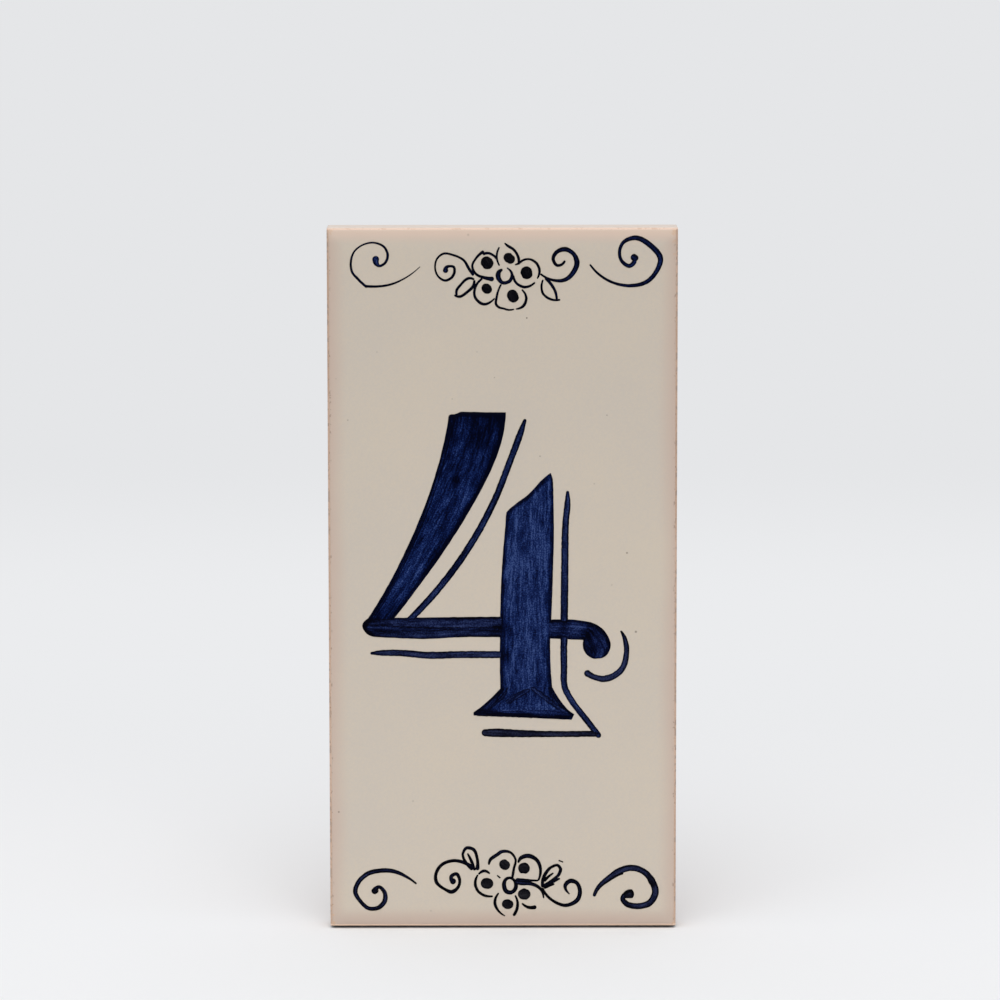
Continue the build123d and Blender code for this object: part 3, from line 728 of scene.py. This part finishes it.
numeral = {
    # a brush is the load, the colour and, in mm, how high a mark lies on the others
    "areas": [
        {   # slant
            "left": [(-10.6, 32.75), (-12.45, 24.0), (-15.75, 14.0), (-19.2, 6.0), (-22.2, 0.0),
                     (-27.1, -8.2)],
            "right": [(0.7, 33.5), (-0.1, 28.0), (-2.3, 22.0), (-6.5, 14.0), (-11.5, 6.0), (-15.75, 0.0),
                      (-22.0, -8.2)],
            "start": [(-10.6, 32.75), (-10.35, 33.05), (-9.5, 33.15), (-8.3, 33.65), (-8.3, 33.65),
                      (0.7, 33.5)],
            "outline": (1.5, 1.5, 1.3, 0.0),
            "pools": [(-9.3, 20.1, 0.65, 0.4), (-10.1, 22.6, 0.6, 0.25), (-10.3, 24.9, 0.7, 0.25),
                      (-3.0, 28.5, 3.5, 0.25), (-25.5, -7.0, 2.0, 0.3), (-8.0, 33.0, 2.2, 0.3),
                      (-4.5, 33.0, 2.2, 0.3), (-1.0, 33.0, 2.2, 0.3), (-9.6, 26.8, 2.4, 0.2),
                      (-19.0, 2.0, 6.0, -0.15)],
            "brush": (0.62, 0.0, 0.002),
        },
        {   # bar
            "left": [(-25.3, -11.3), (-20.5, -11.55), (-15.5, -11.7), (-8.0, -11.35), (1.0, -11.45)],
            "right": [(-26.6, -7.5), (-18.0, -7.4), (1.0, -7.2)],
            "start": [(-25.3, -11.3), (-26.9, -10.7), (-27.85, -9.1), (-26.6, -7.5)],
            "outline": (0.7, 0.7, 1.6, 0.0),
            "pools": [(-25.6, -9.3, 2.2, 0.4), (-23.0, -8.4, 1.5, 0.3), (-1.0, -9.6, 1.0, 0.5)],
            "brush": (0.48, 0.7, 0.005),
        },
        {   # arm of the hook
            "left": [(9.0, -11.6), (16.0, -11.95)],
            "right": [(9.0, -7.9), (14.5, -7.9), (17.6, -8.4)],
            "outline": (0.8, 0.9, 0.0, 0.0),
            "pools": [(12.2, -9.3, 1.0, 0.5), (16.7, -10.9, 1.2, 0.6)],
            "brush": (0.52, 0.4, 0.005),
        },
        {   # curl of the hook
            "left": [(15.6, -11.9), (16.0, -11.95), (16.0, -11.95), (15.9, -13.4), (17.0, -15.2),
                     (18.3, -15.75)],
            "right": [(17.2, -8.35), (18.6, -8.85), (20.8, -11.0), (21.4, -13.0), (20.5, -15.1),
                      (19.6, -15.6)],
            "outline": (0.9, 1.2, 0.0, 1.0),
            "pools": [(17.0, -10.9, 1.2, 0.6), (17.8, -13.7, 0.9, 0.5)],
            "brush": (0.52, 0.4, 0.006),
        },
        {   # stem
            "left": [(0.75, 13.7), (0.35, 9.0), (-0.3, 0.0), (-0.52, -7.0), (-0.5, -21.9), (-0.5, -21.9),
                     (-3.9, -26.9)],
            "right": [(9.5, 21.5), (9.95, 20.3), (9.95, 20.3), (10.15, 10.0), (9.7, -6.0), (9.42, -15.0),
                      (9.85, -21.8), (9.85, -21.8), (11.9, -27.3)],
            "start": [(0.75, 13.7), (2.1, 14.95), (5.1, 17.2), (7.8, 20.1), (9.5, 21.5)],
            "outline": (1.3, 1.1, 1.4, 0.0),
            "pools": [(-0.2, -9.5, 1.4, 0.35), (0.3, -14.9, 1.1, 0.3), (1.5, -22.5, 2.5, 0.2),
                      (8.0, -22.5, 2.5, 0.2)],
            "brush": (0.35, 0.1, 0.008),
        },
        {   # left flare of the foot
            "left": [(-0.5, -21.7), (-3.1, -24.3), (-5.8, -26.5)],
            "right": [(0.7, -21.6), (-0.9, -24.0), (-2.8, -26.9)],
            "end": [(-5.8, -26.5), (-5.8, -27.1), (-5.8, -27.1), (-2.8, -27.2)],
            "outline": (1.3, 0.7, 0.0, 0.0),
            "brush": (0.58, 0.4, 0.011),
        },
        {   # right flare
            "left": [(8.6, -21.5), (9.7, -24.2), (11.2, -27.3)],
            "right": [(9.85, -21.5), (11.4, -24.0), (13.0, -26.0), (14.2, -26.9)],
            "end": [(11.2, -27.8), (13.6, -28.0), (13.6, -28.0), (14.2, -26.9)],
            "outline": (0.6, 1.2, 0.0, 0.0),
            "brush": (0.55, 0.35, 0.011),
        },
        {   # base of the foot
            "left": [(-5.8, -27.1), (4.3, -27.55), (13.6, -28.0)],
            "right": [(-4.9, -25.75), (4.3, -26.0), (12.7, -25.8)],
            "start": [(-5.8, -27.1), (-5.8, -26.5), (-5.8, -26.5), (-4.9, -25.75)],
            "end": [(13.6, -28.0), (14.2, -26.9), (14.2, -26.9), (12.7, -25.8)],
            "outline": (1.0, 0.0, 1.5, 1.5),
            "pools": [(-3.8, -26.4, 2.0, 0.3), (12.3, -27.0, 1.8, 0.35), (3.0, -26.6, 3.0, -0.12)],
            "brush": (0.48, 0.3, 0.014),
        },
    ],
    # laid over the areas once more, and the load and colour of each
    "strokeBrush": [(0.7, 0.2), (0.66, 0.55), (0.56, 0.5), (0.85, 0.5), (0.75, 0.5), (0.8, 0.5),
                    (0.5, 0.45)],
    "strokeLayer": 0.022,
    "strokeWobble": 0.25,
    "strokes": [
        [(-9.4, 32.2, 0.7), (-10.6, 28.5, 0.8), (-11.8, 23.9, 0.95), (-15.1, 13.9, 0.9), (-18.5, 5.8, 0.7),
         (-21.4, -0.2, 0.6), (-25.6, -7.2, 0.7)],
        [(-26.2, -9.5, 1.7), (-22.5, -9.6, 1.4), (-17.0, -9.75, 1.1), (-9.0, -9.65, 0.9), (-1.2, -9.8, 1.0)],
        [(5.9, -21.7, 0.9), (7.6, -22.9, 1.25), (10.0, -24.8, 1.1), (12.6, -26.5, 0.9)],
        [(-5.0, -26.95, 0.5), (4.3, -27.25, 0.55), (13.0, -27.6, 0.6)],
        [(1.1, -21.2, 0.3), (0.3, -22.9, 0.9), (-1.4, -24.6, 0.8), (-3.6, -26.2, 0.5)],
        [(9.2, -21.4, 0.4), (10.4, -23.6, 0.8), (12.0, -25.6, 0.7)],
        [(1.2, -24.2, 1.3), (3.0, -23.1, 1.4), (5.0, -22.0, 0.9)],
    ],
    # thin lines beside the areas, and the load and colour of each
    "shadowBrush": [(0.54, 0.55), (0.34, 0.9), (0.42, 0.6), (0.42, 1.4), (0.36, 1.0)],
    "shadowWobble": 0.1,
    "shadows": [
        [(4.4, 31.9, 0.6), (3.75, 30.0, 1.1), (1.55, 24.0, 1.25), (-1.6, 16.0, 1.28), (-5.85, 8.0, 1.34),
         (-11.4, 0.0, 1.32), (-17.6, -7.0, 1.25), (-18.9, -8.3, 1.2)],
        [(-26.0, -14.55, 0.5), (-24.5, -14.5, 1.0), (-20.5, -14.5, 1.25), (-15.0, -14.95, 1.35),
         (-8.0, -14.85, 1.4), (1.0, -14.9, 1.35)],
        [(12.85, 17.6, 0.55), (12.85, 16.0, 1.05), (12.5, 12.0, 1.25), (12.3, 2.0, 1.42), (12.2, -8.0, 1.42),
         (12.15, -17.0, 1.28), (12.4, -21.7, 1.2), (13.6, -24.0, 1.2), (16.6, -28.0, 1.18),
         (19.0, -31.1, 1.1)],
        [(-3.5, -30.6, 1.4), (-1.5, -30.6, 1.65), (3.0, -30.75, 1.45), (8.0, -30.85, 1.25),
         (18.6, -30.8, 1.2)],
        [(23.5, -10.25, 0.35), (24.3, -12.0, 0.9), (24.55, -14.5, 1.05), (23.55, -17.9, 1.2),
         (20.1, -19.75, 1.25), (18.2, -19.4, 1.1), (16.8, -18.65, 1.25)],
    ],
}


def paintNumeral(marks):
    films = []
    for shadow, (load, line) in zip(marks["shadows"], marks["shadowBrush"]):
        films.append(brushLine(shadow, load, line, wobble=marks["shadowWobble"]))
    films += [brushArea(area, *area["brush"]) for area in marks["areas"]]
    for stroke, (load, line) in zip(marks["strokes"], marks["strokeBrush"]):
        films.append(brushLine(stroke, load, line, layer=marks["strokeLayer"], wobble=marks["strokeWobble"]))
    joinPaint("numeralPaint", "numeral", films)


paintNumeral(numeral)


# scrolls from the tile's corners and sprays from the middle of its ends: (across, up, width)

topOrnament = {
    # each kind of mark, in the order they are laid: where it is drawn from, and its brush
    "kinds": {
        "leftScroll": ("left", 0.5, 0.3, 0.0),
        "rightScroll": ("right", 0.6, 0.12, 0.0),
        "rightEyes": ("right", 0.75, 0.5, 0.006),
        "spray": ("middle", 0.68, 0.45, 0.0),
        "stamens": ("middle", 0.9, 2.0, 0.01),
    },
    "leftScroll": [
        [(7.8, -11.5, 0.48), (10.0, -11.55, 0.42), (12.4, -11.2, 0.38), (15.5, -9.85, 0.23),
         (18.3, -7.7, 0.1)],
        [(7.75, -11.6, 0.43), (6.2, -10.15, 0.46), (5.0, -8.7, 0.42), (4.75, -6.9, 0.4), (5.5, -4.6, 0.31),
         (7.4, -3.25, 0.28), (9.4, -2.95, 0.33), (11.35, -3.85, 0.41), (12.0, -5.4, 0.48),
         (11.4, -7.0, 0.48), (10.3, -7.5, 0.53), (9.7, -6.85, 1.08), (9.65, -6.2, 1.28)],
    ],
    "rightScroll": [
        [(-17.2, -7.4, 0.33), (-15.3, -9.4, 0.43), (-12.6, -10.9, 0.48), (-9.3, -11.45, 0.63),
         (-6.25, -10.75, 0.78), (-4.15, -8.5, 0.88), (-3.45, -6.2, 1.03), (-5.4, -3.55, 1.03),
         (-8.4, -2.05, 0.91), (-10.8, -3.0, 0.68), (-11.5, -4.9, 0.6), (-10.9, -6.8, 0.65),
         (-9.5, -7.55, 0.78), (-8.6, -6.8, 0.88)],
    ],
    "rightEyes": [(-8.55, -5.95, 0.78, 0.7, -30)],
    "spray": [
        [(-11.15, -8.4, 0.98), (-10.95, -7.8, 0.68), (-10.3, -7.57, 0.44), (-9.55, -7.75, 0.48),
         (-9.4, -8.7, 0.48), (-10.0, -9.85, 0.48), (-11.25, -10.4, 0.43), (-12.5, -9.7, 0.36),
         (-13.2, -8.0, 0.32), (-12.8, -6.1, 0.33), (-11.6, -5.13, 0.38), (-9.6, -5.4, 0.38),
         (-7.5, -6.5, 0.43), (-6.6, -8.0, 0.53), (-5.8, -9.2, 0.48)],
        [(7.65, -9.23, 0.35), (9.8, -10.3, 0.48), (12.3, -10.28, 0.75), (14.0, -8.75, 0.92),
         (14.65, -6.8, 1.0), (13.9, -5.1, 0.78), (12.3, -4.27, 0.9), (10.45, -5.05, 0.72),
         (9.98, -6.1, 0.63), (10.8, -7.45, 0.53), (11.7, -7.25, 0.48), (12.2, -6.7, 0.42)],
        [(-5.7, -10.1, 0.38), (-6.2, -9.95, 0.45), (-8.4, -11.5, 0.45), (-9.0, -12.4, 0.48),
         (-9.0, -13.1, 0.43)],
        [(-9.3, -13.35, 0.33), (-8.7, -13.57, 0.45), (-6.7, -12.5, 0.51), (-5.8, -11.6, 0.53),
         (-5.5, -10.55, 0.43)],
        [(7.94, -10.4, 0.27), (7.7, -11.5, 0.39), (7.95, -12.9, 0.43), (9.6, -14.15, 0.43),
         (11.2, -14.23, 0.33)],
        [(8.6, -10.1, 0.53), (9.85, -11.55, 0.53), (10.4, -12.6, 0.49), (10.68, -14.0, 0.41)],
        [(-1.2, -6.0, 0.38), (-2.0, -5.3, 0.43), (-2.75, -5.02, 0.45), (-3.6, -5.15, 0.53)],
        [(-3.85, -4.8, 0.58), (-5.1, -5.95, 0.41), (-5.9, -7.6, 0.41), (-5.2, -9.1, 0.45),
         (-3.5, -9.85, 0.58), (-2.1, -10.1, 0.88)],
        [(-0.65, -3.97, 0.28), (-1.1, -5.6, 0.37), (-0.62, -7.38, 0.25)],
        [(0.55, -3.15, 0.28), (0.9, -3.45, 0.43), (2.25, -4.35, 0.45), (3.2, -6.1, 0.48),
         (3.25, -6.95, 0.43)],
        [(3.2, -7.05, 0.43), (2.6, -7.3, 0.23)],
        [(3.3, -7.05, 0.33), (4.0, -6.46, 0.39), (5.2, -6.2, 0.35), (6.5, -6.8, 0.45), (7.3, -8.5, 0.46),
         (6.92, -9.92, 0.28)],
        [(2.15, -9.62, 0.45), (2.7, -10.85, 0.45), (4.3, -11.7, 0.51), (6.3, -10.9, 0.31)],
        [(-0.3, -11.3, 0.31), (-1.1, -13.6, 0.42), (-1.15, -15.25, 0.45), (-0.7, -15.68, 0.41),
         (0.3, -15.95, 0.35), (1.15, -16.2, 0.33), (2.2, -16.1, 0.21)],
        [(3.92, -12.3, 0.28), (4.7, -13.9, 0.47), (4.1, -15.45, 0.51), (2.8, -16.02, 0.25)],
        [(-4.1, -10.15, 0.39), (-5.3, -11.7, 0.45), (-5.4, -13.6, 0.49), (-3.8, -15.05, 0.53),
         (-1.6, -14.03, 0.25)],
        [(-0.2, -8.35, 0.5), (-0.75, -8.9, 0.87), (-0.8, -9.8, 0.92), (0.1, -10.85, 0.65),
         (1.45, -10.5, 0.65), (1.9, -9.2, 0.52), (1.0, -7.97, 0.22)],
    ],
    "stamens": [(-3.0, -6.92, 1.31, 1.16, -56), (1.37, -6.03, 1.19, 0.98, -38),
                (4.76, -8.89, 1.27, 1.14, -69), (2.08, -13.47, 1.3, 1.08, -64),
                (-3.05, -12.0, 1.09, 0.92, -41)],
}

bottomOrnament = {
    "kinds": {
        "leftScroll": ("left", 0.58, 1.0, 0.0),
        "leftEyes": ("left", 0.8, 1.4, 0.006),
        "rightScroll": ("right", 0.5, 1.15, 0.0),
        "rightOver": ("right", 0.7, 1.5, 0.004),
        "rightEyes": ("right", 0.65, 1.6, 0.006),
        "spray": ("middle", 0.66, 1.1, 0.0),
        "sprayEyes": ("middle", 0.8, 1.2, 0.006),
        "stamens": ("middle", 0.5, 2.0, 0.01),
    },
    "leftScroll": [
        [(17.1, 8.9, 0.32), (15.3, 10.2, 0.52), (12.7, 11.35, 0.79), (10.2, 11.5, 0.87), (7.5, 10.85, 0.9),
         (5.5, 8.9, 0.87), (5.0, 7.2, 0.87), (6.05, 5.25, 0.72), (7.75, 3.8, 0.77), (9.7, 4.0, 0.85),
         (10.95, 5.6, 0.92), (10.7, 7.35, 0.77), (9.7, 8.15, 0.69), (9.0, 7.7, 0.97)],
    ],
    "leftEyes": [(8.95, 7.4, 0.72, 0.65, 20)],
    "rightScroll": [
        [(-16.25, 6.5, 0.63), (-15.5, 8.0, 0.78), (-13.3, 9.95, 1.13), (-11.0, 11.5, 1.26),
         (-8.7, 12.0, 1.23), (-6.3, 11.15, 1.18), (-4.8, 9.4, 1.28), (-4.1, 6.9, 1.33), (-5.2, 4.9, 1.28),
         (-7.8, 4.2, 1.18), (-9.9, 4.75, 1.08), (-10.6, 5.7, 0.93), (-10.3, 6.4, 0.98)],
    ],
    # laid over the right scroll once more
    "rightOver": [
        [(-16.2, 6.5, 0.35), (-15.05, 8.2, 0.45), (-13.4, 9.55, 0.65), (-11.8, 10.55, 0.7),
         (-10.7, 10.85, 0.4)],
        [(-5.5, 10.45, 0.9), (-4.9, 9.5, 1.35), (-4.45, 8.5, 1.1)],
    ],
    "rightEyes": [{
        "step": 0.15,
        "left": [(-10.4, 5.75), (-8.65, 5.85)],
        "right": [(-10.6, 6.7), (-9.5, 7.6), (-8.75, 7.65)],
        "end": [(-8.65, 5.85), (-8.36, 6.4), (-8.75, 7.65)],
    }],
    "spray": [
        [(-5.7, 11.8, 0.56), (-7.4, 12.95, 0.66), (-9.85, 13.5, 0.61), (-12.3, 12.6, 0.61),
         (-13.45, 10.4, 0.61), (-13.35, 9.35, 0.66), (-11.45, 7.6, 0.56), (-10.3, 7.15, 0.77),
         (-9.0, 8.05, 0.58), (-8.65, 9.6, 0.57), (-9.3, 10.8, 0.66), (-10.3, 10.3, 0.71),
         (-10.2, 9.4, 0.81)],
        [(7.9, 7.7, 0.52), (9.8, 5.45, 0.52), (12.6, 4.4, 0.67), (14.95, 5.65, 0.82), (15.35, 7.5, 0.77),
         (14.6, 9.05, 0.75), (13.4, 9.35, 0.87), (12.45, 8.5, 0.73), (13.2, 6.75, 0.22)],
        [(-6.3, 11.85, 0.55), (-7.2, 12.85, 0.55), (-8.0, 14.9, 0.47), (-7.3, 16.05, 0.59),
         (-6.0, 15.85, 0.62), (-5.12, 13.8, 0.55), (-5.1, 11.95, 0.75)],
        [(-7.0, 14.85, 0.3), (-6.3, 13.4, 0.55), (-5.75, 11.8, 0.45)],
        [(7.85, 8.35, 0.55), (8.4, 10.7, 0.65), (9.8, 12.25, 0.51), (10.9, 12.55, 0.52), (11.5, 11.7, 0.6)],
        [(11.5, 11.8, 0.6), (11.1, 10.6, 0.59), (10.3, 9.85, 0.57), (8.0, 8.35, 0.55)],
        [(9.95, 10.9, 0.27), (9.1, 10.25, 0.47), (8.35, 9.5, 0.55)],
        [(11.2, 9.8, 0.33), (9.9, 9.15, 0.55), (8.2, 8.25, 0.55)],
        [(10.1, 8.7, 0.33), (8.4, 8.05, 0.55)],
        [(-2.8, 12.85, 0.35), (-2.65, 13.45, 0.55), (-1.1, 14.75, 0.67), (-0.3, 15.3, 0.65),
         (1.4, 15.2, 0.47), (2.5, 13.75, 0.4), (2.15, 11.75, 0.47), (1.9, 10.2, 0.47)],
        [(3.1, 13.25, 0.4), (3.5, 13.95, 0.7), (5.1, 14.46, 0.85), (6.75, 13.6, 0.71), (7.5, 11.45, 0.55),
         (7.1, 9.6, 0.35)],
        [(2.9, 9.55, 0.75), (4.0, 9.5, 0.7), (5.4, 9.45, 0.47), (6.9, 9.45, 0.3)],
        [(-4.75, 10.85, 0.35), (-3.6, 11.4, 0.55), (-2.75, 10.95, 0.3)],
        [(-5.08, 10.5, 0.3), (-5.54, 8.85, 0.55), (-4.9, 7.22, 0.51), (-3.5, 6.35, 0.48),
         (-2.2, 6.24, 0.33)],
        [(-0.95, 6.8, 0.29), (-1.62, 4.9, 0.55), (-0.85, 3.2, 0.41), (0.3, 2.3, 0.19)],
        [(2.5, 6.3, 0.29), (2.92, 4.6, 0.51), (2.23, 2.5, 0.55)],
        [(2.7, 9.1, 0.85), (3.7, 8.95, 0.9), (5.2, 8.85, 0.73), (6.45, 8.5, 0.65), (7.5, 7.7, 0.55),
         (8.1, 5.95, 0.25)],
        [(3.92, 4.7, 0.33), (4.9, 4.05, 0.55), (6.3, 4.0, 0.75)],
        [(-1.1, 10.45, 0.2), (-0.65, 10.05, 0.28)],
        [(11.2, 13.5, 0.2), (11.9, 13.22, 0.22)],
        [(1.7, 10.0, 0.45), (0.65, 9.75, 0.6), (0.2, 8.5, 0.8), (0.75, 7.2, 0.85), (1.6, 7.0, 0.75)],
        [(1.4, 10.0, 0.4), (2.3, 9.4, 0.55), (2.6, 8.3, 0.75), (2.2, 7.4, 0.75), (1.4, 7.0, 0.75)],
    ],
    "sprayEyes": [(-9.97, 9.3, 0.62, 0.57, 60)],
    "stamens": [(0.33, 12.68, 1.12, 1.05, -40), (4.2, 11.96, 1.18, 1.1, -16), (-3.19, 8.86, 1.27, 1.1, -3),
                (0.93, 4.63, 1.16, 0.98, -10), (4.23, 6.66, 1.27, 1.12, -2)],
}


# lists are pulls of the brush, tuples are presses and dictionaries are filled areas
brushes = {list: brushLine, tuple: brushDab, dict: brushArea}


def paintOrnament(name, node, ornament, up):
    starts = {"left": (-halfWide, up), "middle": (0.0, up), "right": (halfWide, up)}
    films = []
    for kind, (start, load, line, layer) in ornament["kinds"].items():
        overlap = brushLook["overlap"] if kind == "spray" else 0.0
        for i, mark in enumerate(ornament[kind]):
            films.append(brushes[type(mark)](mark, load, line, layer + overlap * (i % 2), starts[start]))
    joinPaint(name, node, films)


paintOrnament("topOrnamentPaint", "top_ornament", topOrnament, halfTall)
paintOrnament("bottomOrnamentPaint", "bottom_ornament", bottomOrnament, -halfTall)


# pale paper, lamps and camera

stageLook = {
    "near": (239, 240, 242),
    "mid": (235, 236, 238),    # what the eye sees a little behind the tile
    "far": (229, 230, 232),    # and further off, on the paper and round it
    "front": -0.36,            # m, where the paper ends before the tile
    "back": 1.6,
    "wide": 3.2,
    "cells": 8,
    "roughness": 0.95,
    "gap": 0.00035,            # the tile stands on its high spots
    "midBack": (0.06, 0.32),   # m over which the paper goes over into the next tone
    "farBack": (0.4, 0.75),
    "farFront": (0.12, 0.34),
    "farSide": (0.2, 0.6),
}


# rays that show the background: straight from the camera, in a gloss or through glass
def seenRays(tree):
    ray = addNode(tree, "ShaderNodeLightPath").outputs
    gloss = maths(tree, "MAXIMUM", ray["Is Glossy Ray"], ray["Is Transmission Ray"])
    return maths(tree, "MAXIMUM", ray["Is Camera Ray"], gloss)


def buildPaper(look):
    material, tree, shader = newMaterial("palePaper")
    place = objectPlace(tree)
    axes = axesOf(tree, place)
    far = 0.0
    for value, reach in (
        (axes["Y"], "farBack"),
        (times(tree, axes["Y"], -1.0), "farFront"),
        (maths(tree, "ABSOLUTE", axes["X"]), "farSide"),
    ):
        far = maths(tree, "MAXIMUM", far, ramp(tree, value, *look[reach]))
    fade = maths(tree, "MAXIMUM", far, ramp(tree, axes["Y"], *look["midBack"]))
    shader.inputs["Base Color"].default_value = tint(*look["near"])
    shader.inputs["Roughness"].default_value = look["roughness"]
    shader.inputs["Specular IOR Level"].default_value = 0.0
    tone = mixTint(tree, far, tint(*look["mid"]), tint(*look["far"]))
    pale = addNode(tree, "ShaderNodeEmission", {"Color": tone, "Strength": 1.0})
    share = times(tree, fade, seenRays(tree))
    both = addNode(tree, "ShaderNodeMixShader", {0: share, 1: shader.outputs[0], 2: pale.outputs[0]})
    tree.links.new(both.outputs[0], tree.nodes["Material Output"].inputs["Surface"])
    return material


def buildStage(look):
    bpy.ops.object.select_all(action="DESELECT")
    bpy.ops.mesh.primitive_grid_add(x_subdivisions=look["cells"], y_subdivisions=look["cells"], size=2)
    paper = bpy.context.object
    paper.name = "palePaper"
    bpy.ops.object.mode_set(mode="EDIT")
    bpy.ops.mesh.select_all(action="SELECT")
    bpy.ops.transform.resize(value=(look["wide"] / 2, (look["back"] - look["front"]) / 2, 1))
    bpy.ops.transform.translate(value=(0, (look["back"] + look["front"]) / 2, clayLow.z - look["gap"]))
    bpy.ops.object.mode_set(mode="OBJECT")
    dress(paper, buildPaper(look))


buildStage(stageLook)

lampLook = {
    # strength of the room's light from each way
    "above": 0.58,
    "level": 0.2,
    "below": 0.02,
    "behind": 0.72,
    # and the slopes of a ray over which it comes in
    "aboveBand": (0.0, 0.7),
    "behindBand": (0.1, 0.6),
    "belowBand": (-0.1, 0.05),
    "lamps": [
        {"name": "key", "at": (-0.1, -1.0, 1.9), "size": 2.0, "power": 25.0},
        {"name": "fill", "at": (0.1, -2.0, 0.7), "size": 1.4, "power": 8.8},
    ],
}


def buildLight(look):
    world = bpy.data.worlds.new("studio")
    bpy.context.scene.world = world
    world.use_nodes = True
    tree = world.node_tree
    place = addNode(tree, "ShaderNodeTexCoord").outputs["Generated"]
    way = axesOf(tree, place)
    upper = ramp(tree, way["Z"], *look["aboveBand"], look["level"], look["above"])
    behind = ramp(tree, way["Y"], *look["behindBand"], 0.0, look["behind"])
    lower = ramp(tree, way["Z"], *look["belowBand"])
    strength = maths(tree, "ADD", look["below"],
                     times(tree, lower, maths(tree, "MAXIMUM", upper, behind)))
    sky = tree.nodes["Background"]
    sky.inputs["Color"].default_value = (1, 1, 1, 1)
    tree.links.new(strength, sky.inputs["Strength"])
    room = addNode(tree, "ShaderNodeBackground", {"Color": tint(*stageLook["far"]), "Strength": 1.0})
    both = addNode(tree, "ShaderNodeMixShader", {0: seenRays(tree), 1: sky.outputs[0], 2: room.outputs[0]})
    tree.links.new(both.outputs[0], tree.nodes["World Output"].inputs["Surface"])
    for lamp in look["lamps"]:
        light = bpy.data.lights.new(lamp["name"], "AREA")
        light.size = lamp["size"]
        light.energy = lamp["power"]
        stand = bpy.data.objects.new(lamp["name"], light)
        stand.location = lamp["at"]
        stand.rotation_euler = (-stand.location).to_track_quat("-Z", "Y").to_euler()
        bpy.context.scene.collection.objects.link(stand)


buildLight(lampLook)

cameraLook = {
    "at": (-0.00051, -0.9866, 0.1476),
    "down": 7.65,
    "roll": -0.066,
    "lens": 180.0,
    "sensor": 36.0,
    "nearest": 0.01,
}


def buildCamera(look):
    lens = bpy.data.cameras.new("view")
    lens.lens = look["lens"]
    lens.sensor_width = look["sensor"]
    lens.sensor_fit = "HORIZONTAL"
    lens.clip_start = look["nearest"]
    camera = bpy.data.objects.new("view", lens)
    tilt = Matrix.Rotation(math.radians(90 - look["down"]), 4, "X")
    roll = Matrix.Rotation(math.radians(look["roll"]), 4, "Z")
    camera.matrix_world = Matrix.Translation(look["at"]) @ (tilt @ roll)
    bpy.context.scene.collection.objects.link(camera)
    bpy.context.scene.camera = camera


buildCamera(cameraLook)

print("scene ready")
